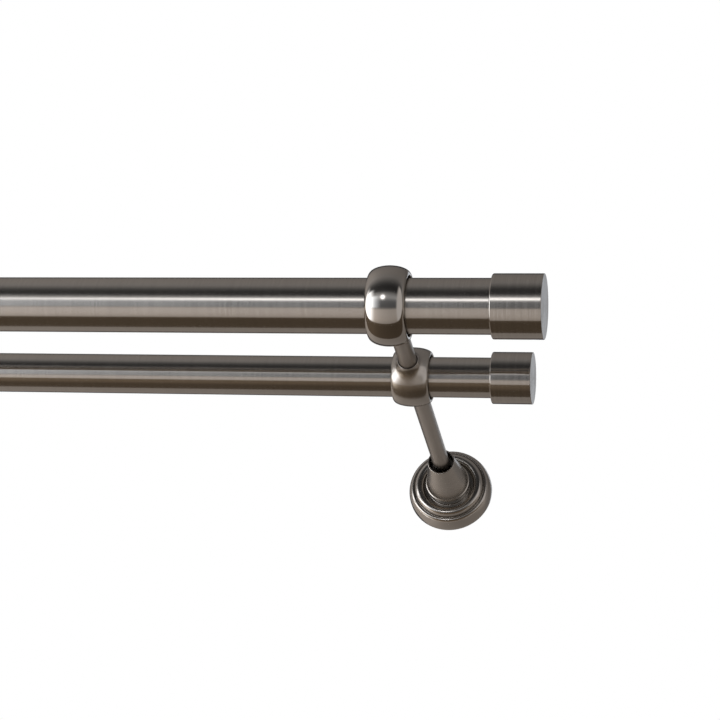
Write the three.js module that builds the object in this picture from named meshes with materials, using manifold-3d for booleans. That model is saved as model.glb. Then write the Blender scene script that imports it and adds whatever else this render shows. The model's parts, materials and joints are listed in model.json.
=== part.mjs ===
// Double curtain rod on two wall brackets: a 25 mm front tube and a 19 mm rear tube, carried by
// closed rings on two straight arms that stand square off the wall.
//
// Millimetres, +Z up. The origin is the centre of the right wall plate's back face, so the wall is
// the plane Y = 0. The arms run along -Y into the room and the tubes run along X.
// "Reach" is always the distance from the wall, that is -Y.

import * as THREE from 'three';
import { mergeVertices } from 'three/addons/utils/BufferGeometryUtils.js';
import Module from 'manifold-3d';

const wasm = await Module();
wasm.setup();

// ---------------------------------------------------------------- driving dimensions

const BRACKET_SPACING = 660;
const GAP = 0.3;                    // clearance between pieces that fit into each other

const FRONT = {
  name: 'front',
  reach: 200,                       // wall to tube axis
  tubeRadius: 12.5,
  tubeWall: 1.0,
  capStart: 46.0,                   // bracket centre to the cap's inner rim
  capLength: 22.7,
  capRadius: 14.5,
  capGrip: 15.0,                    // length of tube inside the cap
  ringCrown: 18.1,                  // ring radius at its crown
  ringHalfWidth: 8.9,
  neckReach: 22.6,                  // tube axis to the tip of a neck
  necks: ['back'],
};

const REAR = {
  name: 'rear',
  reach: 132,
  tubeRadius: 9.5,
  tubeWall: 1.0,
  capStart: 37.8,
  capLength: 19.0,
  capRadius: 12.2,
  capGrip: 12.0,
  ringCrown: 14.1,
  ringHalfWidth: 8.8,
  neckReach: 17.0,
  necks: ['back', 'front'],
};

const ARM_RADIUS = 4.2;
const NECK_TIP_RADIUS = 5.1;
const NECK_ROOT_RADIUS = 8.2;
const SOCKET_FLOOR = 1.3;           // metal left between a socket and the ring's bore

const RING_END_WALL = 0.5;          // ring wall at its ends
const LINER_WALL = 0.5;
const LINER_HALF_WIDTH = 7.8;

const SET_SCREW_RADIUS = 2.0;
const SET_SCREW_SOCKET = 1.1;       // hexagon socket, centre to corner
const SET_SCREW_SUNK = 0.6;         // below the ring's crown

const PLATE_RADIUS = 18.0;
const PLATE_THICKNESS = 2.5;
const BOSS_RADIUS = 7.0;
const BOSS_REACH = 12.0;
const STUD_RADIUS = 2.9;            // M6 stud on the arm's wall end
const STUD_HOLE_FLOOR = 3.0;

const WALL_SCREW_OFFSET = 11.2;     // to either side of the arm
const WALL_SCREW_RADIUS = 1.9;
const WALL_SCREW_HEAD_RADIUS = 3.7;
const WALL_SCREW_HEAD_DEPTH = 2.0;
const WALL_SCREW_LENGTH = 25.0;

const COVER_RADIUS = 21.8;
const COVER_WALL = 1.2;
const COVER_NECK_RADIUS = 10.8;
const COVER_NECK_REACH = 13.2;
const BAND_CREST = { radius: 18.9, reach: 8.4 };
const BEAD = { radius: 15.4, halfWidth: 2.5, base: 9.0, height: 2.4 };
const GROOVE_REACH = 7.7;

const CONE_BASE_RADIUS = 11.4;
const CONE_TIP_RADIUS = 6.9;
const CONE_MOUTH_RADIUS = 6.2;
const CONE_TIP_REACH = 38.3;
const CONE_LIP = 0.8;

const CAP_SCREW_RADIUS = 2.0;
const CAP_SCREW_HEAD_RADIUS = 3.6;
const CAP_RIM_BEVEL = 0.7;

const SIDES = { tube: 28, ring: 28, cover: 32, cone: 24, arm: 16, small: 10 };

// ---------------------------------------------------------------- materials

const satinNickel = new THREE.MeshStandardMaterial({ color: 0x8f8a83, roughness: 0.34, metalness: 1.0 });
const polishedNickel = new THREE.MeshStandardMaterial({ color: 0x9a9792, roughness: 0.16, metalness: 1.0 });
const zincSteel = new THREE.MeshStandardMaterial({ color: 0xb9bcc0, roughness: 0.45, metalness: 1.0 });
const blackSteel = new THREE.MeshStandardMaterial({ color: 0x2b2b2d, roughness: 0.5, metalness: 0.9 });
const blackNylon = new THREE.MeshStandardMaterial({ color: 0x202022, roughness: 0.6, metalness: 0.0 });
const clearNylon = new THREE.MeshStandardMaterial({ color: 0xd9d6cd, roughness: 0.6, metalness: 0.0 });

// ---------------------------------------------------------------- geometry helpers

// Points along an elliptical arc, in (radius, height), with angles in degrees.
function arc(centreRadius, centreHeight, semiRadius, semiHeight, fromDegrees, toDegrees, steps) {
  const points = [];
  for (let i = 0; i <= steps; i += 1) {
    const angle = THREE.MathUtils.degToRad(fromDegrees + ((toDegrees - fromDegrees) * i) / steps);
    points.push([
      centreRadius + semiRadius * Math.cos(angle),
      centreHeight + semiHeight * Math.sin(angle),
    ]);
  }
  return points;
}

// A solid of revolution about its own Y axis. A profile that leaves the axis open closes on itself.
function turned(profile, sides) {
  const points = profile.map(([radius, height]) => new THREE.Vector2(radius, height));
  if (points[0].x > 0) {
    points.push(points[0].clone());
  }
  return new THREE.LatheGeometry(points, sides);
}

// A plain round bar about its own Y axis, from one height to another.
function bar(radius, from, to, sides) {
  return turned([[0, from], [radius, from], [radius, to], [0, to]], sides);
}

// The turning axis, +Y as built, is laid along X, along Z, or out from the wall.
const alongX = (geometry) => geometry.rotateZ(-Math.PI / 2);
const alongZ = (geometry) => geometry.rotateX(Math.PI / 2);
const outFromWall = (geometry) => geometry.rotateX(Math.PI);

function toSolid(geometry) {
  const bare = geometry.clone();
  bare.deleteAttribute('normal');
  bare.deleteAttribute('uv');
  const merged = mergeVertices(bare, 1e-4);
  const mesh = new wasm.Mesh({
    numProp: 3,
    vertProperties: new Float32Array(merged.attributes.position.array),
    triVerts: new Uint32Array(merged.index.array),
  });
  return new wasm.Manifold(mesh);
}

function toGeometry(solid) {
  const mesh = solid.getMesh();
  const geometry = new THREE.BufferGeometry();
  geometry.setAttribute('position', new THREE.BufferAttribute(new Float32Array(mesh.vertProperties), 3));
  geometry.setIndex(new THREE.BufferAttribute(new Uint32Array(mesh.triVerts), 1));
  geometry.computeVertexNormals();
  return geometry;
}

// Joins the first list of geometries and takes the second list away.
function carve(added, removed) {
  const whole = added.map(toSolid).reduce((sum, solid) => sum.add(solid));
  return toGeometry(removed.map(toSolid).reduce((rest, solid) => rest.subtract(solid), whole));
}

function named(name, geometry, material) {
  const mesh = new THREE.Mesh(geometry, material);
  mesh.name = name;
  return mesh;
}

// ---------------------------------------------------------------- rings, liners and set screws

const ringBore = (rod) => rod.tubeRadius + GAP + LINER_WALL + GAP;
const socketFloor = (rod) => ringBore(rod) + SOCKET_FLOOR;

// A barrel-shaped ring about X, with one flared neck for each arm that plugs into it, a blind
// socket in each neck and a threaded hole for the set screw on top.
function ringGeometry(rod) {
  const bore = ringBore(rod);
  const endRadius = bore + RING_END_WALL;
  const half = rod.ringHalfWidth;
  const barrel = alongX(turned([
    [0, -half],
    ...arc(endRadius, 0, rod.ringCrown - endRadius, half, -90, 90, 8),
    [0, half],
  ], SIDES.ring));

  const flare = NECK_ROOT_RADIUS - NECK_TIP_RADIUS;
  const neckProfile = [
    [0, bore - 1],
    [NECK_ROOT_RADIUS, bore - 1],
    ...arc(NECK_ROOT_RADIUS, rod.neckReach - 0.8, flare, flare, -90, -180, 4),
    [NECK_TIP_RADIUS, rod.neckReach],
    [0, rod.neckReach],
  ];

  const added = [barrel];
  const removed = [
    alongX(bar(bore, -half - 1, half + 1, SIDES.ring)),
    alongZ(bar(SET_SCREW_RADIUS + GAP, bore - 1, rod.ringCrown + 1, SIDES.small)),
  ];
  for (const side of rod.necks) {
    const turn = side === 'back' ? 0 : Math.PI;
    added.push(turned(neckProfile, SIDES.arm).rotateX(turn));
    removed.push(bar(ARM_RADIUS + GAP, socketFloor(rod), rod.neckReach + 1, SIDES.arm).rotateX(turn));
  }
  return carve(added, removed);
}

// A thin black nylon sleeve in the bore, pierced for the set screw.
function linerGeometry(rod) {
  const inner = rod.tubeRadius + GAP;
  const outer = inner + LINER_WALL;
  const sleeve = alongX(turned([
    [inner, -LINER_HALF_WIDTH],
    [outer, -LINER_HALF_WIDTH],
    [outer, LINER_HALF_WIDTH],
    [inner, LINER_HALF_WIDTH],
  ], SIDES.ring));
  const hole = alongZ(bar(SET_SCREW_RADIUS + 2 * GAP, inner - 2, outer + 2, SIDES.small));
  return carve([sleeve], [hole]);
}

// A headless screw, from just off the tube up to just below the ring's crown.
function setScrewGeometry(rod) {
  const bottom = rod.tubeRadius + GAP;
  const top = rod.ringCrown - SET_SCREW_SUNK;
  const shank = alongZ(turned([
    [0, bottom],
    [SET_SCREW_RADIUS - 0.5, bottom],
    [SET_SCREW_RADIUS, bottom + 0.5],
    [SET_SCREW_RADIUS, top],
    [0, top],
  ], SIDES.small));
  const socket = alongZ(bar(SET_SCREW_SOCKET, top - 1.8, top + 1, 6));
  return carve([shank], [socket]);
}

// ---------------------------------------------------------------- arms

// The rear arm screws into the wall plate's boss and ends in the rear ring's back socket.
function rearArmGeometry() {
  const wallEnd = BOSS_REACH + GAP;
  return outFromWall(turned([
    [0, STUD_HOLE_FLOOR + 1],
    [STUD_RADIUS, STUD_HOLE_FLOOR + 1],
    [STUD_RADIUS, wallEnd],
    [ARM_RADIUS, wallEnd],
    [ARM_RADIUS, REAR.reach - socketFloor(REAR) - GAP],
    [0, REAR.reach - socketFloor(REAR) - GAP],
  ], SIDES.arm));
}

// The front arm bridges the rear ring's front socket and the front ring's back socket.
function frontArmGeometry() {
  const from = REAR.reach + socketFloor(REAR) + GAP;
  const to = FRONT.reach - socketFloor(FRONT) - GAP;
  return outFromWall(bar(ARM_RADIUS, from, to, SIDES.arm));
}

// ---------------------------------------------------------------- wall fixing

// A round steel plate with a threaded boss for the arm and two countersunk holes.
function wallPlateGeometry() {
  const plate = outFromWall(turned([
    [0, 0],
    [PLATE_RADIUS, 0],
    [PLATE_RADIUS, PLATE_THICKNESS],
    [BOSS_RADIUS, PLATE_THICKNESS],
    [BOSS_RADIUS, BOSS_REACH],
    [0, BOSS_REACH],
  ], SIDES.cone));
  const holes = [-WALL_SCREW_OFFSET, WALL_SCREW_OFFSET].map((x) => outFromWall(turned([
    [0, -1],
    [WALL_SCREW_RADIUS + GAP, -1],
    [WALL_SCREW_RADIUS + GAP, PLATE_THICKNESS - WALL_SCREW_HEAD_DEPTH - GAP],
    [WALL_SCREW_HEAD_RADIUS + GAP, PLATE_THICKNESS - GAP],
    [WALL_SCREW_HEAD_RADIUS + GAP, PLATE_THICKNESS + 1],
    [0, PLATE_THICKNESS + 1],
  ], SIDES.small)).translate(x, 0, 0));
  const studHole = outFromWall(bar(STUD_RADIUS + GAP, STUD_HOLE_FLOOR, BOSS_REACH + 1, SIDES.arm));
  return carve([plate], [...holes, studHole]);
}

// A countersunk wood screw with a cross recess, its head flush with the wall plate.
function wallScrewGeometry() {
  const top = PLATE_THICKNESS;
  const neck = top - WALL_SCREW_HEAD_DEPTH;
  const tip = top - WALL_SCREW_LENGTH;
  const screw = outFromWall(turned([
    [0, tip],
    [WALL_SCREW_RADIUS, tip + 4],
    [WALL_SCREW_RADIUS, neck],
    [WALL_SCREW_HEAD_RADIUS, top - 0.2],
    [WALL_SCREW_HEAD_RADIUS, top],
    [0, top],
  ], SIDES.small));
  const slots = [[3.6, 0.7], [0.7, 3.6]].map(([width, height]) => {
    const slot = new THREE.BoxGeometry(width, 2.0, height);
    return slot.translate(0, -top, 0);
  });
  return carve([screw], slots);
}

// ---------------------------------------------------------------- wall cover

// The stepped rosette: a convex outer band, a groove, a raised bead, a second groove and a short
// neck that carries the cone. It is a shell, open at the wall.
function coverGeometry() {
  const insideRadius = COVER_RADIUS - COVER_WALL;
  const neckInside = COVER_NECK_RADIUS - COVER_WALL;
  const bandBase = 1.6;
  const webReach = GROOVE_REACH - COVER_WALL;
  return outFromWall(turned([
    [insideRadius, GAP],
    [COVER_RADIUS, GAP],
    ...arc(
      BAND_CREST.radius, bandBase,
      COVER_RADIUS - BAND_CREST.radius, BAND_CREST.reach - bandBase,
      0, 90, 5,
    ),
    [BAND_CREST.radius - 0.6, GROOVE_REACH],
    [BEAD.radius + BEAD.halfWidth, GROOVE_REACH],
    ...arc(BEAD.radius, BEAD.base, BEAD.halfWidth, BEAD.height, 0, 180, 6),
    [BEAD.radius - BEAD.halfWidth, GROOVE_REACH + 0.6],
    [COVER_NECK_RADIUS, GROOVE_REACH + 0.6],
    [COVER_NECK_RADIUS, COVER_NECK_REACH],
    [neckInside, COVER_NECK_REACH],
    [neckInside, webReach],
    [BAND_CREST.radius - 0.6, webReach],
    [insideRadius, bandBase],
  ], SIDES.cover));
}

// The hollow cone round the arm, with a thin lip at its base and a spigot inside the cover's neck.
function coneGeometry() {
  const lipReach = COVER_NECK_REACH + GAP;
  const wall = CONE_TIP_RADIUS - CONE_MOUTH_RADIUS;
  const spigotRadius = COVER_NECK_RADIUS - COVER_WALL - GAP;
  const spigotReach = lipReach - 4.0;
  const coneBase = CONE_BASE_RADIUS - 0.4;
  return outFromWall(turned([
    [spigotRadius - 1.0, spigotReach],
    [spigotRadius, spigotReach],
    [spigotRadius, lipReach],
    [CONE_BASE_RADIUS - 0.1, lipReach],
    [CONE_BASE_RADIUS, lipReach + CONE_LIP / 2],
    [coneBase, lipReach + CONE_LIP],
    [CONE_TIP_RADIUS, CONE_TIP_REACH - 0.3],
    [CONE_TIP_RADIUS - 0.3, CONE_TIP_REACH],
    [CONE_MOUTH_RADIUS, CONE_TIP_REACH],
    [spigotRadius - 1.0, lipReach + CONE_LIP],
  ], SIDES.cone));
}

// A flanged nylon bush under the cover, which grips the wall plate's boss.
function coverBushGeometry() {
  const bushRadius = COVER_NECK_RADIUS - COVER_WALL - GAP;
  const flangeTop = GROOVE_REACH - COVER_WALL - GAP;
  return outFromWall(turned([
    [BOSS_RADIUS + GAP, flangeTop - 1.4],
    [BOSS_RADIUS + 5.0, flangeTop - 1.4],
    [BOSS_RADIUS + 5.0, flangeTop],
    [bushRadius, flangeTop],
    [bushRadius, flangeTop + 2.6],
    [BOSS_RADIUS + GAP, flangeTop + 2.6],
  ], SIDES.arm));
}

// ---------------------------------------------------------------- tubes and end caps

const tubeEnd = (rod) => rod.capStart + rod.capGrip;

// A plain tube whose ends lie inside the caps.
function tubeGeometry(rod) {
  const inner = rod.tubeRadius - rod.tubeWall;
  const left = -BRACKET_SPACING - tubeEnd(rod);
  const right = tubeEnd(rod);
  return alongX(turned([
    [inner, left],
    [rod.tubeRadius, left],
    [rod.tubeRadius, right],
    [inner, right],
  ], SIDES.tube));
}

const capFloor = (rod) => rod.capGrip + GAP + 2.0 + GAP;

// A plain turned cup that slides over the tube's end. Its height runs from its inner rim outward.
function capGeometry(rod) {
  const bore = rod.tubeRadius + GAP;
  const floor = capFloor(rod);
  const threadEnd = rod.capLength - 1.2;
  return alongX(turned([
    [0, threadEnd],
    [CAP_SCREW_RADIUS + GAP, threadEnd],
    [CAP_SCREW_RADIUS + GAP, floor],
    [bore, floor],
    [bore, 0],
    [rod.capRadius - CAP_RIM_BEVEL, 0],
    [rod.capRadius, CAP_RIM_BEVEL],
    [rod.capRadius, rod.capLength - 0.3],
    [rod.capRadius - 0.3, rod.capLength],
    [0, rod.capLength],
  ], SIDES.tube));
}

// The nylon plug that grips the tube from inside, with a recess for the screw's head.
function capPlugGeometry(rod) {
  const bodyRadius = rod.tubeRadius - rod.tubeWall - GAP;
  const recess = CAP_SCREW_HEAD_RADIUS + 0.6;
  const flangeFrom = rod.capGrip + GAP;
  const flangeTo = flangeFrom + 2.0;
  const ledge = rod.capGrip - 1.7;
  return alongX(turned([
    [recess, 2.0],
    [bodyRadius - 0.6, 2.0],
    [bodyRadius, 2.8],
    [bodyRadius, flangeFrom],
    [rod.tubeRadius - 0.2, flangeFrom],
    [rod.tubeRadius - 0.2, flangeTo],
    [CAP_SCREW_RADIUS + GAP, flangeTo],
    [CAP_SCREW_RADIUS + GAP, ledge],
    [recess, ledge],
  ], SIDES.cone));
}

// The screw that joins the plug to the cap, with a cross recess in its flat head.
function capScrewGeometry(rod) {
  const headTop = rod.capGrip - 1.7 - GAP;
  const headBottom = headTop - 2.4;
  const screw = alongX(turned([
    [0, headBottom],
    [CAP_SCREW_HEAD_RADIUS - 0.6, headBottom],
    [CAP_SCREW_HEAD_RADIUS, headBottom + 0.6],
    [CAP_SCREW_HEAD_RADIUS, headTop],
    [CAP_SCREW_RADIUS, headTop],
    [CAP_SCREW_RADIUS, rod.capLength - 1.2 - GAP],
    [0, rod.capLength - 1.2 - GAP],
  ], SIDES.small));
  const slots = [[3.4, 0.7], [0.7, 3.4]].map(([width, height]) => {
    const slot = new THREE.BoxGeometry(2.4, width, height);
    return slot.translate(headBottom, 0, 0);
  });
  return carve([screw], slots);
}

// ---------------------------------------------------------------- assembly

// One bracket, with everything that it carries apart from the tubes.
function bracket(side) {
  const group = new THREE.Group();
  group.add(named(`wall_plate_${side}`, wallPlateGeometry(), zincSteel));
  const outward = side === 'right' ? WALL_SCREW_OFFSET : -WALL_SCREW_OFFSET;
  for (const [place, x] of Object.entries({ outer: outward, inner: -outward })) {
    const screw = named(`wall_screw_${place}_${side}`, wallScrewGeometry(), zincSteel);
    screw.position.x = x;
    group.add(screw);
  }
  group.add(named(`wall_cover_${side}`, coverGeometry(), polishedNickel));
  group.add(named(`cover_cone_${side}`, coneGeometry(), satinNickel));
  group.add(named(`cover_bush_${side}`, coverBushGeometry(), clearNylon));
  group.add(named(`rear_arm_${side}`, rearArmGeometry(), satinNickel));
  group.add(named(`front_arm_${side}`, frontArmGeometry(), satinNickel));
  for (const rod of [REAR, FRONT]) {
    const atRing = new THREE.Group();
    atRing.position.y = -rod.reach;
    atRing.add(named(`${rod.name}_ring_${side}`, ringGeometry(rod), polishedNickel));
    atRing.add(named(`${rod.name}_ring_liner_${side}`, linerGeometry(rod), blackNylon));
    atRing.add(named(`${rod.name}_set_screw_${side}`, setScrewGeometry(rod), blackSteel));
    group.add(atRing);
  }
  return group;
}

// One end cap with its plug and screw, drawn for the right end and turned round for the left.
function endCap(rod, side) {
  const group = new THREE.Group();
  group.add(named(`${rod.name}_cap_${side}`, capGeometry(rod), satinNickel));
  group.add(named(`${rod.name}_cap_plug_${side}`, capPlugGeometry(rod), clearNylon));
  group.add(named(`${rod.name}_cap_screw_${side}`, capScrewGeometry(rod), zincSteel));
  if (side === 'left') {
    group.rotation.z = Math.PI;
    group.position.x = -BRACKET_SPACING - rod.capStart;
  } else {
    group.position.x = rod.capStart;
  }
  group.position.y = -rod.reach;
  return group;
}

const curtainRod = new THREE.Group();

const bracketPlaces = { right: 0, left: -BRACKET_SPACING };
for (const [side, x] of Object.entries(bracketPlaces)) {
  const placed = bracket(side);
  placed.position.x = x;
  curtainRod.add(placed);
}

for (const rod of [FRONT, REAR]) {
  const tube = named(`${rod.name}_tube`, tubeGeometry(rod), satinNickel);
  tube.position.y = -rod.reach;
  curtainRod.add(tube);
  for (const side of ['right', 'left']) {
    curtainRod.add(endCap(rod, side));
  }
}

export default curtainRod;
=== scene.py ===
"""The finished look of a double curtain rod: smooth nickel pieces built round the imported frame.

Outlines are drawn in millimetres, in each piece's own axes, and placed from the frame.
"""

import json
import math

import bpy
import numpy as np
from mathutils import Matrix, Vector


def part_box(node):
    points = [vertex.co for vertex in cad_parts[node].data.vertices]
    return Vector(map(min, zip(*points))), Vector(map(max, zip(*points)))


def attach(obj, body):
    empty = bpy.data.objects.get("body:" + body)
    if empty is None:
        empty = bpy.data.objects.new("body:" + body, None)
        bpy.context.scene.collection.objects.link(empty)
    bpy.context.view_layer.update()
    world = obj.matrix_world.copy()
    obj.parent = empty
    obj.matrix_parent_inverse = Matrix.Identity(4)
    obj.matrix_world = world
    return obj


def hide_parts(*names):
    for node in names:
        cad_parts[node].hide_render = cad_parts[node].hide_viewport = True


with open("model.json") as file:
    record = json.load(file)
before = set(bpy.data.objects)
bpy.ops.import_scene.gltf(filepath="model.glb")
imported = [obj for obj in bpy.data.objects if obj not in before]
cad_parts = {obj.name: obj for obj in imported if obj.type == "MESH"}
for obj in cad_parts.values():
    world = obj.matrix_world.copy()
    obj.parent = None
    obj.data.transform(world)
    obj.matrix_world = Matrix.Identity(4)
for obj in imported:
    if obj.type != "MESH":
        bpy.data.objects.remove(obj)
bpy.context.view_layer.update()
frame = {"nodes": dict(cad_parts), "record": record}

MM = 0.001
SIDES = ("right", "left")
RODS = ("front", "rear")


# ---------------------------------------------------------------- sizes, read from the frame

def middle(node):
    low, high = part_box(node)
    return (low + high) / 2


def extent(node):
    low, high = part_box(node)
    return (high - low) / MM


def round_sizes(rod, necks):
    """The radii and lengths of one rod's tube, caps and rings."""
    tube, cap, ring = (f"{rod}_{kind}" for kind in ("tube", "cap_right", "ring_right"))
    return {
        "tube": extent(tube).z / 2,
        "cap": extent(cap).z / 2,
        "cap_length": extent(cap).x,
        "crown": extent(ring).z / 2,
        "half_width": extent(ring).x / 2,
        "neck": (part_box(ring)[1].y - middle(tube).y) / MM,
        "necks": necks,
        "grip": (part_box(tube)[1].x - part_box(cap)[0].x) / MM,
    }


ROUND = {"front": round_sizes("front", (1,)), "rear": round_sizes("rear", (1, -1))}

TUBE_WALL = 1.0
FIT = 0.3                  # clearance between pieces that slide into each other
LINER_WALL = 0.5
RING_END_WALL = 0.5
SOCKET_FLOOR = 1.3         # metal left between a ring's bore and an arm's socket
SHELL_WALL = 1.2           # the cover's wall, and the metal beyond a cap's screw
PLUG_FLANGE = 2.0
STUD = 2.9
ARM = extent("front_arm_right").z / 2
NECK_RIM = 5.1
SCREW_HOLE = 2.3

# Fillets on the rings, from the necks' broad flare to the sharpest edge.
NECK_FLARE = 5.0
RING_EDGE = 0.35
SCREW_HOLE_EDGE = 0.3
SOCKET_EDGE = 0.25


def bracket_x(side):
    return middle(f"wall_plate_{side}").x


# ---------------------------------------------------------------- outlines with true normals

def line(a, b):
    """Both ends and the right-hand normals of a straight stretch of an outline."""
    a, b = np.array(a, float), np.array(b, float)
    along = (b - a) / np.linalg.norm(b - a)
    return np.stack([a, b]), np.tile([along[1], -along[0]], (2, 1))


def arc(centre, semi, start, end, steps=12):
    """Points and normals along an elliptical arc, angles in degrees. Backwards means hollow."""
    angle = np.radians(np.linspace(start, end, steps + 1))
    unit = np.stack([np.cos(angle), np.sin(angle)], 1)
    semi = np.array(semi, float)
    normal = unit / semi
    normal /= np.linalg.norm(normal, axis=1)[:, None]
    return np.array(centre, float) + unit * semi, normal * (1 if end > start else -1)


def rounded(corners, closed=True):
    """An outline of straight stretches whose corners (radius, height, fillet) are rounded off."""
    corners = [(*c, 0.0)[:3] for c in corners]
    count = len(corners)
    strips, starts, ends = [], [], []
    for i, (r, h, fillet) in enumerate(corners):
        here = np.array([r, h], float)
        if not closed and i in (0, count - 1):
            starts.append(here)
            ends.append(here)
            strips.append(None)
            continue
        before = np.array(corners[i - 1][:2], float) - here
        after = np.array(corners[(i + 1) % count][:2], float) - here
        before /= np.linalg.norm(before)
        after /= np.linalg.norm(after)
        half = math.acos(max(-1.0, min(1.0, float(before @ after)))) / 2
        if fillet <= 0 or half > math.radians(89.5):
            starts.append(here)
            ends.append(here)
            strips.append(None)
            continue
        reach = fillet / math.tan(half)
        first, last = here + before * reach, here + after * reach
        bisector = (before + after) / np.linalg.norm(before + after)
        centre = here + bisector * fillet / math.sin(half)
        turn = np.cross(-before, after)
        a0 = math.degrees(math.atan2(*(first - centre)[::-1]))
        a1 = math.degrees(math.atan2(*(last - centre)[::-1]))
        if turn > 0 and a1 < a0:
            a1 += 360
        if turn < 0 and a1 > a0:
            a1 -= 360
        starts.append(first)
        ends.append(last)
        strips.append(arc(centre, (fillet, fillet), a0, a1, 6))
    made = []
    for i in range(count if closed else count - 1):
        if strips[i] is not None:
            made.append(strips[i])
        following = (i + 1) % count
        if np.linalg.norm(starts[following] - ends[i]) > 1e-6:
            made.append(line(ends[i], starts[following]))
    return made


def finished_mesh(name, points, faces, loop_normals):
    """A smooth-shaded mesh in metres whose face corners carry the given normals."""
    mesh = bpy.data.meshes.new(name)
    mesh.from_pydata([tuple(p * MM) for p in points], [], faces)
    mesh.polygons.foreach_set("use_smooth", [True] * len(mesh.polygons))
    mesh.normals_split_custom_set(loop_normals)
    mesh.update()
    return mesh


def turned(name, strips, turn=np.eye(3), around=128):
    """A solid of revolution about its own Z axis, turned to lie along another axis."""
    rings, columns = [], []
    for points, normals in strips:
        for i, (r, h) in enumerate(points):
            if rings and i == 0 and np.allclose(rings[-1], (r, h), atol=1e-5):
                continue
            rings.append((r, h))
        columns.append((len(rings) - len(points), points, normals))
    closed = np.allclose(rings[0], rings[-1], atol=1e-5)
    if closed:
        rings.pop()

    angles = np.linspace(0, 2 * math.pi, around, endpoint=False)
    spokes = np.stack([np.cos(angles), np.sin(angles)], 1)
    points, index = [], []
    for r, h in rings:
        if r < 1e-6:
            index.append([len(points)] * around)
            points.append((0.0, 0.0, h))
        else:
            index.append(list(range(len(points), len(points) + around)))
            points.extend((r * c, r * s, h) for c, s in spokes)

    faces, corner_normals = [], []
    for first, strip_points, strip_normals in columns:
        for i in range(len(strip_points) - 1):
            low, high = index[(first + i) % len(rings)], index[(first + i + 1) % len(rings)]
            n0, n1 = strip_normals[i], strip_normals[i + 1]
            for j in range(around):
                k = (j + 1) % around
                ring = [(low[j], n0, j), (low[k], n0, k), (high[k], n1, k), (high[j], n1, j)]
                if low[j] == low[k]:
                    ring.pop(1)
                elif high[j] == high[k]:
                    ring.pop(2)
                faces.append([v for v, _, _ in ring])
                for _, normal, spoke in ring:
                    c, s = spokes[spoke]
                    corner_normals.append((normal[0] * c, normal[0] * s, normal[1]))
    points = np.array(points) @ turn.T
    corner_normals = np.array(corner_normals) @ turn.T
    return finished_mesh(name, points, faces, corner_normals)


ALONG_X = np.array([[0, 0, 1], [1, 0, 0], [0, 1, 0]], float)
OUT_FROM_WALL = np.array([[1, 0, 0], [0, 0, -1], [0, 1, 0]], float)


# ---------------------------------------------------------------- blended solids

def smooth_union(a, b, blend):
    """The join of two solids, given by their distances, with a fillet where they meet."""
    h = np.clip(0.5 + 0.5 * (b - a) / blend, 0, 1)
    return b * (1 - h) + a * h - blend * h * (1 - h)


def smooth_cut(a, b, blend):
    """Solid a without solid b, with the new edges rounded."""
    return -smooth_union(-a, b, blend)


def slope(field, points, reach=0.02):
    """The field's gradient at each point."""
    sides = []
    for axis in range(3):
        shift = np.zeros(3)
        shift[axis] = reach
        sides.append((field(points + shift) - field(points - shift)) / (2 * reach))
    return np.stack(sides, -1)


def skin(name, field, low, high, step):
    """The closed surface where a field is zero, as quads drawn onto it, with the field's normals."""
    axes = [np.arange(a, b + step, step) for a, b in zip(low, high)]
    grid = np.stack(np.meshgrid(*axes, indexing="ij"), -1)
    value = field(grid)
    inside = value < 0
    shape = np.array(value.shape) - 1
    total = np.zeros((*shape, 3))
    hits = np.zeros(shape)
    corner_sets = [(a, b) for a in (0, 1) for b in (0, 1)]
    for axis in range(3):
        others = [i for i in range(3) if i != axis]
        for a, b in corner_sets:
            near = [slice(0, n) for n in shape]
            far = [slice(0, n) for n in shape]
            far[axis] = slice(1, shape[axis] + 1)
            for other, offset in zip(others, (a, b)):
                span = slice(offset, offset + shape[other])
                near[other] = far[other] = span
            near, far = tuple(near), tuple(far)
            cross = inside[near] != inside[far]
            gap = value[near] - value[far]
            share = np.where(cross, value[near] / np.where(gap == 0, 1, gap), 0)
            spot = grid[near] + (grid[far] - grid[near]) * share[..., None]
            total += np.where(cross[..., None], spot, 0)
            hits += cross
    crossed = hits > 0
    number = -np.ones(shape, int)
    number[crossed] = np.arange(crossed.sum())
    points = total[crossed] / hits[crossed][:, None]

    faces = []
    for axis in range(3):
        u, v = [(1, 2), (2, 0), (0, 1)][axis]
        near = [slice(1, n) for n in shape]
        near[axis] = slice(0, shape[axis])
        far = list(near)
        far[axis] = slice(1, shape[axis] + 1)
        change = inside[tuple(near)] != inside[tuple(far)]
        spots = np.argwhere(change)
        outward = inside[tuple(near)][change]
        spots[:, u] += 1
        spots[:, v] += 1
        quad = []
        for du, dv in ((-1, -1), (0, -1), (0, 0), (-1, 0)):
            cell = spots.copy()
            cell[:, u] += du
            cell[:, v] += dv
            quad.append(number[tuple(cell.T)])
        quad = np.stack(quad, 1)
        faces.append(np.where(outward[:, None], quad, quad[:, ::-1]))
    faces = np.concatenate(faces)

    for _ in range(4):
        grade = slope(field, points)
        points = points - grade * (field(points) / np.maximum((grade ** 2).sum(1), 0.1))[:, None]
    normals = slope(field, points)
    normals /= np.linalg.norm(normals, axis=1)[:, None]
    return finished_mesh(name, points, faces.tolist(), normals[faces.ravel()])


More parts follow.
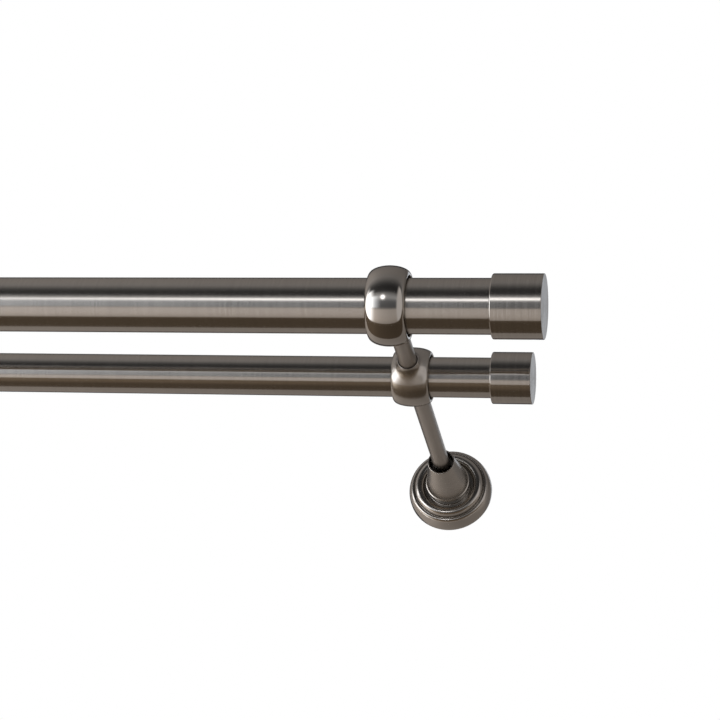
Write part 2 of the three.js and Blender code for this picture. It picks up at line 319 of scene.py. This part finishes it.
def ring_field(rod):
    """A barrel-shaped ring about X with flared necks along Y, in the ring's own axes."""
    size = ROUND[rod]
    bore = size["tube"] + FIT + LINER_WALL + FIT
    end = bore + RING_END_WALL
    half, rise = size["half_width"], size["crown"] - end
    floor = bore + SOCKET_FLOOR

    def field(p):
        x, y, z = p[..., 0], p[..., 1], p[..., 2]
        rho = np.hypot(y, z)
        over = rho - end
        k0 = np.sqrt((x / half) ** 2 + (over / rise) ** 2)
        k1 = np.sqrt((x / half ** 2) ** 2 + (over / rise ** 2) ** 2) + 1e-9
        body = np.where(over > 0, k0 * (k0 - 1) / k1, np.abs(x) - half)
        post = np.hypot(x, z)
        for way in size["necks"]:
            reach = y * way
            neck = np.maximum(post - NECK_RIM + RING_EDGE, -reach)
            body = smooth_union(body, neck, NECK_FLARE)
        for way in size["necks"]:
            reach = y * way
            body = smooth_cut(body, size["neck"] - reach, RING_EDGE)
            socket = np.maximum(post - ARM - FIT, floor - reach)
            body = smooth_cut(body, socket, SOCKET_EDGE)
        hole = np.maximum(np.hypot(x, y) - SCREW_HOLE, -z)
        body = smooth_cut(body, hole, SCREW_HOLE_EDGE)
        return smooth_cut(body, rho - bore, RING_EDGE)

    return field


# ---------------------------------------------------------------- materials

def node_material(name):
    material = bpy.data.materials.new(name)
    material.use_nodes = True
    tree = material.node_tree
    shader = tree.nodes["Principled BSDF"]
    return material, tree, shader


def stretched_noise(tree, scale, stretch, detail=3.0):
    """Noise in the piece's own space, stretched along the axes by its mapping."""
    place = tree.nodes.new("ShaderNodeTexCoord")
    mapping = tree.nodes.new("ShaderNodeMapping")
    mapping.inputs["Scale"].default_value = stretch
    noise = tree.nodes.new("ShaderNodeTexNoise")
    noise.inputs["Scale"].default_value = scale
    noise.inputs["Detail"].default_value = detail
    tree.links.new(place.outputs["Object"], mapping.inputs["Vector"])
    tree.links.new(mapping.outputs["Vector"], noise.inputs["Vector"])
    return noise.outputs["Fac"]


def remap(tree, value, low, high):
    node = tree.nodes.new("ShaderNodeMapRange")
    node.inputs["From Min"].default_value = 0.3
    node.inputs["From Max"].default_value = 0.7
    node.inputs["To Min"].default_value = low
    node.inputs["To Max"].default_value = high
    tree.links.new(value, node.inputs["Value"])
    return node.outputs["Result"]


def tint(tree, value, dark, light):
    node = tree.nodes.new("ShaderNodeMix")
    node.data_type = "RGBA"
    node.inputs["A"].default_value = (*dark, 1)
    node.inputs["B"].default_value = (*light, 1)
    tree.links.new(value, node.inputs["Factor"])
    return node.outputs["Result"]


def bump(tree, shader, value, depth):
    node = tree.nodes.new("ShaderNodeBump")
    node.inputs["Strength"].default_value = 1.0
    node.inputs["Distance"].default_value = depth * MM
    tree.links.new(value, node.inputs["Height"])
    tree.links.new(node.outputs["Normal"], shader.inputs["Normal"])


NICKEL = (0.60, 0.565, 0.52)


def nickel(name, roughness, grain, streak=0.03, depth=0.001):
    """Nickel plate. grain is the mapping stretch of its brushing: large across the lines."""
    material, tree, shader = node_material(name)
    lines = stretched_noise(tree, 1.0, grain, 5.0)
    haze = stretched_noise(tree, 45.0, (1, 1, 1), 2.0)
    dark = tuple(c * (1 - streak) for c in NICKEL)
    light = tuple(c * (1 + streak) for c in NICKEL)
    tree.links.new(tint(tree, remap(tree, lines, 0, 1), dark, light), shader.inputs["Base Color"])
    spread = tree.nodes.new("ShaderNodeMath")
    spread.operation = "ADD"
    tree.links.new(remap(tree, lines, -streak / 3, streak / 3), spread.inputs[0])
    tree.links.new(remap(tree, haze, roughness - 0.01, roughness + 0.01), spread.inputs[1])
    tree.links.new(spread.outputs["Value"], shader.inputs["Roughness"])
    bump(tree, shader, lines, depth)
    shader.inputs["Metallic"].default_value = 1.0
    return material


def brushed_round_x(name, roughness, streak):
    """Nickel brushed round the tubes, so its shine spreads along X."""
    material = nickel(name, roughness, (2600, 40, 40), streak)
    tree = material.node_tree
    shader = tree.nodes["Principled BSDF"]
    shader.inputs["Anisotropic"].default_value = 0.9
    shader.inputs["Anisotropic Rotation"].default_value = 0.25
    tangent = tree.nodes.new("ShaderNodeTangent")
    tangent.direction_type = "RADIAL"
    tangent.axis = "X"
    tree.links.new(tangent.outputs["Tangent"], shader.inputs["Tangent"])
    return material


def plain(name, colour, roughness, metallic, scale, depth):
    """A plain finish with fine mottling in its colour, shine and surface."""
    material, tree, shader = node_material(name)
    mottle = stretched_noise(tree, scale, (1, 1, 1), 4.0)
    dark = tuple(c * 0.85 for c in colour)
    light = tuple(min(1.0, c * 1.12) for c in colour)
    tree.links.new(tint(tree, remap(tree, mottle, 0, 1), dark, light), shader.inputs["Base Color"])
    tree.links.new(remap(tree, mottle, roughness - 0.06, roughness + 0.06), shader.inputs["Roughness"])
    bump(tree, shader, mottle, depth)
    shader.inputs["Metallic"].default_value = metallic
    return material


TUBE_NICKEL = brushed_round_x("tube_nickel", 0.20, 0.05)
CAP_NICKEL = brushed_round_x("cap_nickel", 0.18, 0.08)
POLISHED_NICKEL = nickel("polished_nickel", 0.09, (300, 300, 300), 0.01, 0.0002)
SATINED_NICKEL = nickel("satined_nickel", 0.24, (300, 300, 300), 0.02, 0.0002)
COVER_NICKEL = nickel("cover_nickel", 0.16, (300, 300, 300), 0.01, 0.0002)
ARM_NICKEL = nickel("arm_nickel", 0.34, (900, 90, 900), 0.05)
CONE_NICKEL = nickel("cone_nickel", 0.24, (40, 2200, 40), 0.05)
ZINC = plain("zinc", (0.62, 0.64, 0.66), 0.38, 1.0, 900.0, 0.01)
BLACK_OXIDE = plain("black_oxide", (0.045, 0.045, 0.05), 0.45, 0.6, 1500.0, 0.01)
BLACK_NYLON = plain("black_nylon", (0.014, 0.014, 0.016), 0.5, 0.0, 700.0, 0.02)
NATURAL_NYLON = plain("natural_nylon", (0.72, 0.70, 0.64), 0.5, 0.0, 700.0, 0.02)

NODE_BODY = {
    node: body
    for body, nodes in frame["record"]["behaviour"]["bodies"].items()
    for node in nodes
}


def place(mesh, node, material, spot, half_turn=False):
    """Puts a finished mesh where its CAD node is, riding the same body and standing for it."""
    piece = bpy.data.objects.new(f"{node}_finished", mesh)
    bpy.context.scene.collection.objects.link(piece)
    piece.location = spot
    if half_turn:
        piece.rotation_euler.z = math.pi
    if not mesh.materials:
        mesh.materials.append(material)
    bpy.context.view_layer.update()
    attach(piece, NODE_BODY[node])
    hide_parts(node)


# ---------------------------------------------------------------- the pieces

def tube_mesh(rod):
    size = ROUND[rod]
    half = extent(f"{rod}_tube").x / 2
    outer, inner = size["tube"], size["tube"] - TUBE_WALL
    edge = 0.15
    return turned(f"{rod}_tube", rounded([
        (inner, -half, edge),
        (outer, -half, edge),
        (outer, half, edge),
        (inner, half, edge),
    ]), ALONG_X, 160)


def cap_mesh(rod):
    """A turned cup. Its height runs from the inner rim, at 0, to its flat outer face."""
    size = ROUND[rod]
    bore = size["tube"] + FIT
    floor = size["grip"] + PLUG_FLANGE + 2 * FIT
    length = size["cap_length"]
    return turned(f"{rod}_cap", rounded([
        (0, length - SHELL_WALL),
        (SCREW_HOLE, length - SHELL_WALL),
        (SCREW_HOLE, floor, 0.2),
        (bore, floor, 0.2),
        (bore, 0, 0.35),
        (size["cap"], 0, 0.6),
        (size["cap"], length, 0.3),
        (0, length),
    ], closed=False), ALONG_X, 160)


def cap_plug_mesh(rod):
    """A nylon plug with three grip ridges, a flange and a recess for the screw's head."""
    size = ROUND[rod]
    body = size["tube"] - TUBE_WALL - FIT
    flange = size["tube"] - 0.2
    recess = 4.2
    start = size["grip"] + FIT
    ledge = size["grip"] - 1.7
    corners = [(recess, 2.0, 0.2), (body - 1.0, 2.0, 0.3)]
    for ridge in range(3):
        base = 3.0 + ridge * (start - 4.0) / 3
        corners += [
            (body - 0.7, base, 0.2),
            (body, base + 0.9, 0.3),
            (body - 0.7, base + 1.4, 0.2),
        ]
    corners += [
        (body - 0.7, start, 0.1),
        (flange, start, 0.3),
        (flange, start + PLUG_FLANGE, 0.3),
        (SCREW_HOLE, start + PLUG_FLANGE, 0.2),
        (SCREW_HOLE, ledge, 0.1),
        (recess, ledge, 0.2),
    ]
    return turned(f"{rod}_cap_plug", rounded(corners), ALONG_X, 96)


def rear_arm_mesh():
    low, high = (-v.y / MM for v in reversed(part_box("rear_arm_right")))
    shoulder = 12.3
    return turned("rear_arm", rounded([
        (0, low),
        (STUD, low, 0.4),
        (STUD, shoulder),
        (ARM, shoulder, 0.3),
        (ARM, high, 0.3),
        (0, high),
    ], closed=False), OUT_FROM_WALL, 96)


def front_arm_mesh():
    low, high = (-v.y / MM for v in reversed(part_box("front_arm_right")))
    return turned("front_arm", rounded([
        (0, low),
        (ARM, low, 0.3),
        (ARM, high, 0.3),
        (0, high),
    ], closed=False), OUT_FROM_WALL, 96)


def cover_mesh():
    """The stepped rosette: convex band, groove, raised bead, second groove and short neck."""
    outer = extent("wall_cover_right").x / 2
    inner = outer - SHELL_WALL
    crest, crest_reach, base = 18.9, 8.4, 1.6
    neck, neck_top = 10.8, 13.2
    bead, bead_half, bead_base, bead_rise = 15.4, 2.5, 9.0, 2.4
    groove = 7.7
    web = groove - SHELL_WALL
    strips = [
        line((inner, FIT), (outer - 0.3, FIT)),
        arc((outer - 0.3, FIT + 0.3), (0.3, 0.3), -90, 0, 6),
        line((outer, FIT + 0.3), (outer, base)),
        arc((crest, base), (outer - crest, crest_reach - base), 0, 90, 32),
        arc((crest, crest_reach - 0.35), (0.35, 0.35), 90, 180, 6),
        *rounded([
            (crest - 0.35, crest_reach - 0.35),
            (crest - 0.35, groove, 0.3),
            (bead + bead_half, groove, 0.3),
            (bead + bead_half, bead_base),
        ], closed=False),
        arc((bead, bead_base), (bead_half, bead_rise), 0, 180, 40),
        *rounded([
            (bead - bead_half, bead_base),
            (bead - bead_half, groove + 0.6, 0.4),
            (neck, groove + 0.6, 0.4),
            (neck, neck_top, 0.2),
            (neck - SHELL_WALL, neck_top, 0.2),
            (neck - SHELL_WALL, web, 0.2),
            (crest - 0.6, web, 0.8),
            (inner, base, 0.5),
            (inner, FIT),
        ], closed=False),
    ]
    return turned("wall_cover", strips, OUT_FROM_WALL, 192)


def cone_mesh():
    """The hollow cone with a thin lip at its base and a spigot inside the cover's neck."""
    lip, tip, mouth, top = 11.4, 6.9, 6.2, 38.3
    base = 13.5
    spigot = 9.3
    return turned("cover_cone", rounded([
        (spigot - 1.0, base - 4.0, 0.2),
        (spigot, base - 4.0, 0.2),
        (spigot, base, 0.1),
        (lip, base, 0.25),
        (lip, base + 0.6, 0.25),
        (lip - 0.5, base + 0.9, 0.2),
        (tip, top, 0.3),
        (mouth, top, 0.25),
        (spigot - 1.0, base + 0.8, 0.5),
    ]), OUT_FROM_WALL, 144)


def cover_bush_mesh():
    return turned("cover_bush", rounded([
        (7.3, 4.8, 0.2),
        (12.0, 4.8, 0.3),
        (12.0, 6.2, 0.3),
        (9.3, 6.2, 0.2),
        (9.3, 8.8, 0.3),
        (7.3, 8.8, 0.3),
    ]), OUT_FROM_WALL, 96)


def build_tubes_and_caps():
    for rod in RODS:
        place(tube_mesh(rod), f"{rod}_tube", TUBE_NICKEL, middle(f"{rod}_tube"))
        cap, plug = cap_mesh(rod), cap_plug_mesh(rod)
        for side in SIDES:
            low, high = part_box(f"{rod}_cap_{side}")
            rim = low.x if side == "right" else high.x
            spot = Vector((rim, middle(f"{rod}_tube").y, 0))
            turn = side == "left"
            place(cap, f"{rod}_cap_{side}", CAP_NICKEL, spot, turn)
            place(plug, f"{rod}_cap_plug_{side}", NATURAL_NYLON, spot, turn)


def build_brackets():
    cover, cone, bush = cover_mesh(), cone_mesh(), cover_bush_mesh()
    arms = {"rear": rear_arm_mesh(), "front": front_arm_mesh()}
    for side in SIDES:
        at_wall = Vector((bracket_x(side), 0, 0))
        place(cover, f"wall_cover_{side}", COVER_NICKEL, at_wall)
        place(cone, f"cover_cone_{side}", CONE_NICKEL, at_wall)
        place(bush, f"cover_bush_{side}", NATURAL_NYLON, at_wall)
        for rod in RODS:
            place(arms[rod], f"{rod}_arm_{side}", ARM_NICKEL, at_wall)
    for rod in RODS:
        size = ROUND[rod]
        reach = size["neck"] + 1.0
        box = (size["half_width"] + 1.0, reach, size["crown"] + 1.0)
        ring = skin(f"{rod}_ring", ring_field(rod), [-b for b in box], box, 0.4)
        finish = POLISHED_NICKEL if rod == "front" else SATINED_NICKEL
        for side in SIDES:
            spot = Vector((bracket_x(side), middle(f"{rod}_tube").y, 0))
            place(ring, f"{rod}_ring_{side}", finish, spot)


def finish_cad_nodes():
    """CAD pieces whose shape is right keep it and get their own material."""
    kinds = {"wall_plate": ZINC, "wall_screw": ZINC, "set_screw": BLACK_OXIDE, "cap_screw": ZINC,
             "ring_liner": BLACK_NYLON}
    for name, node in frame["nodes"].items():
        for kind, material in kinds.items():
            if kind in name:
                node.data.materials.clear()
                node.data.materials.append(material)


# ---------------------------------------------------------------- studio

# The studio as the metal shows it, going round the X axis: degrees from the wall, over the top,
# to the room at 180 and back under; how bright the metal looks there; and how warm the light is.
STUDIO_BANDS = [
    (0, 0.37, 0.8), (58, 0.30, 0.8), (70, 0.35, 0.8), (95, 0.375, 0.8), (118, 0.37, 0.6),
    (125, 0.335, 0.6), (132, 0.29, 0.5), (138, 0.235, 0.5), (143, 0.195, 0.4), (148, 0.16, 0.4),
    (154, 0.14, 0.4), (162, 0.15, 0.4), (167, 0.20, 0.4), (172, 0.36, 0.4), (182, 0.50, 0.3),
    (187, 0.50, 0.3), (191, 0.42, 0.3), (196, 0.33, 0.2), (206, 0.29, 0.2), (214, 0.29, 0.3),
    (217, 0.41, 0.8), (221, 0.52, 0.9), (235, 0.525, 0.9), (248, 0.51, 1), (256, 0.48, 1),
    (262, 0.43, 1), (268, 0.385, 1), (290, 0.385, 1), (345, 0.39, 1),
]

# How the bands fade from the left, -X, to the right.
STUDIO_FADE = [(-1, 1.8), (-0.57, 1.65), (-0.42, 1.33), (-0.28, 1.12), (-0.12, 1.0),
               (0.17, 0.86), (0.4, 0.84), (0.8, 0.9), (1, 1.4)]


def to_linear(level):
    return level / 12.92 if level <= 0.04045 else ((level + 0.055) / 1.055) ** 2.4


def as_light(level, warmth=0.0):
    """The light that makes the metal look this bright."""
    warm = (1 + 0.16 * warmth, 1 - 0.02 * warmth, 1 - 0.17 * warmth)
    return tuple(to_linear(level) * w / n for w, n in zip(warm, NICKEL))


class World:
    """A few words for building the world's light out of nodes."""

    def __init__(self, tree):
        self.tree = tree

    def add(self, kind, values, **settings):
        node = self.tree.nodes.new(kind)
        for key, value in settings.items():
            setattr(node, key, value)
        for key, value in values.items():
            if isinstance(value, bpy.types.NodeSocket):
                self.tree.links.new(value, node.inputs[key])
            else:
                node.inputs[key].default_value = value
        return node

    def math(self, operation, *values):
        made = self.add("ShaderNodeMath", dict(enumerate(values)), operation=operation)
        return made.outputs["Value"]

    def mix(self, factor, a, b, kind="MIX"):
        values = {"Factor": factor, "A": a, "B": b}
        made = self.add("ShaderNodeMix", values, data_type="RGBA", blend_type=kind)
        return made.outputs["Result"]

    def edge(self, value, start, end):
        """From 0 at start to 1 at end, smoothly."""
        values = {"Value": value, "From Min": start, "From Max": end}
        made = self.add("ShaderNodeMapRange", values, interpolation_type="SMOOTHSTEP")
        return made.outputs["Result"]

    def between(self, value, low, high, soft):
        rise = self.edge(value, low - soft, low + soft)
        return self.math("MULTIPLY", rise, self.edge(value, high + soft, high - soft))

    def ramp(self, value, stops):
        node = self.add("ShaderNodeValToRGB", {"Fac": value})
        elements = node.color_ramp.elements
        elements.remove(elements[-1])
        for i, (position, colour) in enumerate(stops):
            stop = elements[0] if i == 0 else elements.new(position)
            stop.position = position
            stop.color = (*colour, 1)
        return node.outputs["Color"]


LAMP = {"degrees": 184.0, "x": -0.18, "height": 5.0, "width": 0.075, "light": (4.0, 4.0, 4.1, 1)}


def make_world():
    """White to the camera, even light to matt surfaces, and long bands of light in the metal."""
    world = bpy.data.worlds.new("studio")
    bpy.context.scene.world = world
    world.use_nodes = True
    world.cycles.sampling_method = "NONE"
    tree = world.node_tree
    tree.nodes.clear()
    w = World(tree)

    way = w.add("ShaderNodeTexCoord", {})
    parts = w.add("ShaderNodeSeparateXYZ", {"Vector": way.outputs["Generated"]})
    x, y, z = (parts.outputs[k] for k in "XYZ")
    turn = w.math("ARCTAN2", w.math("MULTIPLY", z, -1.0), w.math("MULTIPLY", y, -1.0))
    degrees = w.math("MULTIPLY_ADD", turn, 180 / math.pi, 180.0)

    bands = w.ramp(w.math("DIVIDE", degrees, 360.0),
                   [(d / 360, as_light(level, warmth)) for d, level, warmth in STUDIO_BANDS])
    fade = w.ramp(w.math("MULTIPLY_ADD", x, 0.5, 0.5),
                  [((side + 1) / 2, (gain / 2,) * 3) for side, gain in STUDIO_FADE])
    light = w.mix(1.0, bands, w.mix(1.0, fade, fade, "ADD"), "MULTIPLY")

    to_right = w.edge(x, 0.48, 0.66)
    right_card = w.math("MULTIPLY", to_right, w.between(degrees, 141, 262, 5))
    light = w.mix(right_card, light, (*as_light(0.575, 0.6), 1))

    behind = w.math("MAXIMUM", w.edge(degrees, 60, 50), w.edge(degrees, 354, 360))
    dark_wall = w.math("MULTIPLY", behind, w.between(x, -0.6, 0.06, 0.03))
    light = w.mix(dark_wall, light, (*as_light(0.14), 1))
    far_right = w.math("MULTIPLY", w.between(degrees, 12, 44, 4), w.between(x, 0.12, 0.3, 0.03))
    light = w.mix(far_right, light, (*as_light(0.67), 1))

    even = light
    window = w.math("MULTIPLY", w.edge(x, -0.22, -0.95), w.between(degrees, 180, 215, 3))
    light = w.mix(window, light, (*as_light(1.1, 0.0), 1))
    panel = w.math("MULTIPLY", w.edge(x, -0.5, -0.9), w.between(degrees, 158, 262, 4))
    light = w.mix(panel, light, (*as_light(1.25, 0.2), 1))

    off_up = w.math("DIVIDE", w.math("SUBTRACT", degrees, LAMP["degrees"]), LAMP["height"])
    off_side = w.math("DIVIDE", w.math("SUBTRACT", x, LAMP["x"]), LAMP["width"])
    away = w.math("ADD", w.math("MULTIPLY", off_up, off_up), w.math("MULTIPLY", off_side, off_side))
    lamp = w.math("EXPONENT", w.math("MULTIPLY", away, -1.0))
    light = w.mix(lamp, light, LAMP["light"], "ADD")

    to_left = w.edge(x, -0.62, -0.97)
    lit = w.math("MULTIPLY", w.math("MULTIPLY", to_left, to_left), w.between(degrees, 140, 262, 8))
    light = w.mix(lit, light, (2.1, 2.1, 2.15, 1))

    # A second reflection sees only the even part, which keeps the grooves free of speckle.
    path = w.add("ShaderNodeLightPath", {})
    light = w.mix(w.math("GREATER_THAN", path.outputs["Glossy Depth"], 1.5), light, even)
    light = w.mix(path.outputs["Is Diffuse Ray"], light, (0.95, 0.95, 0.95, 1))
    light = w.mix(path.outputs["Is Camera Ray"], light, (1, 1, 1, 1))
    back = w.add("ShaderNodeBackground", {"Color": light})
    w.add("ShaderNodeOutputWorld", {"Surface": back.outputs["Background"]})


def staged_sheet(name, corners, material):
    """A flat four-cornered sheet that belongs to the studio."""
    mesh = bpy.data.meshes.new(name)
    mesh.from_pydata(corners, [], [(0, 1, 2, 3)])
    mesh.materials.append(material)
    sheet = bpy.data.objects.new(name, mesh)
    bpy.context.scene.collection.objects.link(sheet)
    return sheet


def make_flag():
    """A strip of dark gauze under the rods. Only the metal sees it, as its dark lower band."""
    half = 3.0
    front, back = (-0.231, -0.147), (-0.050, -0.161)
    material = bpy.data.materials.new("gauze")
    material.use_nodes = True
    tree = material.node_tree
    tree.nodes.clear()
    gauze = tree.nodes.new("ShaderNodeBsdfTransparent")
    gauze.inputs["Color"].default_value = (0.31, 0.26, 0.20, 1)
    out = tree.nodes.new("ShaderNodeOutputMaterial")
    tree.links.new(gauze.outputs["BSDF"], out.inputs["Surface"])
    corners = [(-half, *front), (half, *front), (half, *back), (-half, *back)]
    flag = staged_sheet("flag", corners, material)
    flag.visible_camera = False
    flag.visible_diffuse = False
    flag.visible_shadow = False


def make_floor():
    """A plain pale floor at the height below the rod that a room has."""
    half, drop = 60.0, -2.2
    material, _, shader = node_material("floor_paint")
    shader.inputs["Base Color"].default_value = (0.9, 0.9, 0.9, 1)
    shader.inputs["Roughness"].default_value = 0.8
    corners = [(-half, -half, drop), (half, -half, drop), (half, half, drop), (-half, half, drop)]
    floor = staged_sheet("floor", corners, material)
    floor.visible_glossy = False


def make_camera():
    """The photograph's view: the right-hand end, from below and a little to the right."""
    lens = bpy.data.cameras.new("camera")
    lens.sensor_width = 36.0
    lens.lens = 100.99
    camera = bpy.data.objects.new("camera", lens)
    bpy.context.scene.collection.objects.link(camera)
    right = Vector((0.979237, 0.174473, 0.103216))
    down = Vector((0.009366, 0.469679, -0.882787))
    ahead = Vector((-0.202501, 0.865425, 0.458293))
    turn = Matrix((right, -down, -ahead)).transposed().to_4x4()
    place_seen_from = Vector((0.16831, -0.96491, -0.43227))
    camera.matrix_world = Matrix.Translation(place_seen_from) @ turn
    bpy.context.scene.camera = camera


make_camera()
make_floor()
make_world()
make_flag()
bpy.context.scene.view_settings.view_transform = "Standard"

build_tubes_and_caps()
build_brackets()
finish_cad_nodes()
